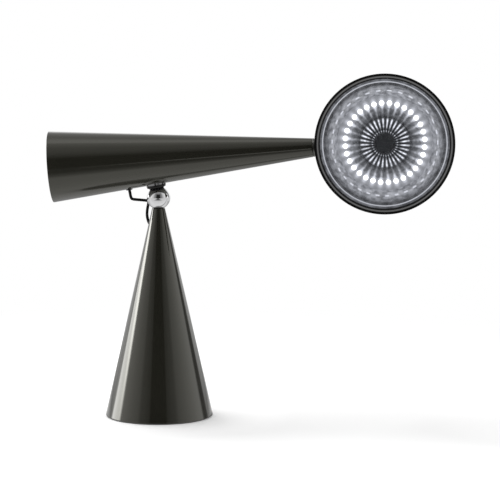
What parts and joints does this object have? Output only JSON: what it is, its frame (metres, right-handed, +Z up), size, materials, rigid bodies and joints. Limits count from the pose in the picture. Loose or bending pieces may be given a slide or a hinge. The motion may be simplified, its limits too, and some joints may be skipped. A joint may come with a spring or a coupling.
{
  "type": "table lamp",
  "caption": "Tabletop searchlight lamp: a weighted upright cone, a long cone arm on a chrome ball joint, and a round swivelling cone head with a ring of lights.",
  "frame": {"origin": "centre of the foot's flat underside, on the table", "axes": "+Z up, +X from the base's axis towards the lamp head, the head looks towards -Y"},
  "size_m": [0.4479, 0.1399, 0.3858],
  "materials": {
    "shell_paint": "gloss dark olive grey paint",
    "arm_paint": "gloss dark olive grey paint",
    "chrome": "polished",
    "satin_metal": "satin turned",
    "black_metal": "gloss black",
    "black_rubber": "matte",
    "cable_jacket": "satin black jacket",
    "black_plastic": "fine satin",
    "pale_plastic": "matte",
    "steel": "bright zinc",
    "iron": "as cast",
    "brass": "turned",
    "clear_glass": "clear",
    "reflector_metal": "bright anodised",
    "board": "silvered lacquer",
    "light": "glowing white",
    "dark_cap": "satin dark",
    "sink_metal": "mill finish"
  },
  "bodies": {
    "base": {"base_shell": "shell_paint", "foot_pad": "black_rubber", "bottom_plate": "steel", "bottom_screws": "steel", "base_ballast": "iron", "tie_rod": "steel", "tie_rod_nut": "steel", "tie_rod_washer": "steel", "neck_plug": "steel", "ball_stud": "steel", "driver_case": "black_plastic", "terminal_block": "pale_plastic", "cord_gland": "black_plastic", "gland_nut": "black_plastic", "lower_cable_grommet": "black_rubber", "switch_housing": "black_metal", "switch_body": "black_plastic", "jumper_cable": "cable_jacket"},
    "button": {"switch_button": "satin_metal"},
    "ball": {"pivot_ball": "chrome"},
    "liner": {"socket_liner": "black_plastic"},
    "arm": {"socket_cup": "chrome", "socket_magnet": "steel", "socket_screw": "steel", "arm_saddle": "steel", "arm_shell": "arm_paint", "upper_cable_grommet": "black_rubber", "arm_end_cap": "arm_paint", "end_cap_screws": "steel", "counterweight": "iron", "tip_bush": "brass", "swivel_ring": "satin_metal"},
    "head": {"swivel_spindle": "steel", "spindle_nut": "steel", "spring_washer": "steel", "spindle_lock_ring": "steel", "head_housing": "arm_paint", "bezel_ring": "black_metal", "retaining_tabs": "black_metal", "lens": "clear_glass", "lens_gasket": "black_rubber", "trim_ring": "chrome", "outer_reflector": "reflector_metal", "led_board": "board", "leds": "light", "centre_reflector": "reflector_metal", "centre_cap": "dark_cap", "centre_screw": "steel", "heat_sink": "sink_metal", "heat_sink_screws": "steel"}
  },
  "joints": [
    {"name": "arm_pan", "type": "hinge", "parent": "base", "child": "ball", "pos_m": [0, 0, 0.24425], "axis": [0, 0, 1], "range_deg": [-60, 60]},
    {"name": "arm_tilt", "type": "hinge", "parent": "ball", "child": "liner", "pos_m": [0, 0, 0.24425], "axis": [0, -1, 0], "range_deg": [-35, 45], "deforming": ["jumper_cable"]},
    {"name": "arm_lean", "type": "hinge", "parent": "liner", "child": "arm", "pos_m": [0, 0, 0.24425], "axis": [0.9968, 0, 0.0794], "range_deg": [-15, 15]},
    {"name": "head_swivel", "type": "hinge", "parent": "arm", "child": "head", "pos_m": [0, 0, 0.28717], "axis": [0.9968, 0, 0.0794], "range_deg": [-150, 150]},
    {"name": "button_press", "type": "slide", "parent": "base", "child": "button", "axis": [0, -0.9752, -0.2215], "range_m": [0, 0.0015], "stiffness_N_per_m": 800, "springref_m": -0.001}
  ]
}
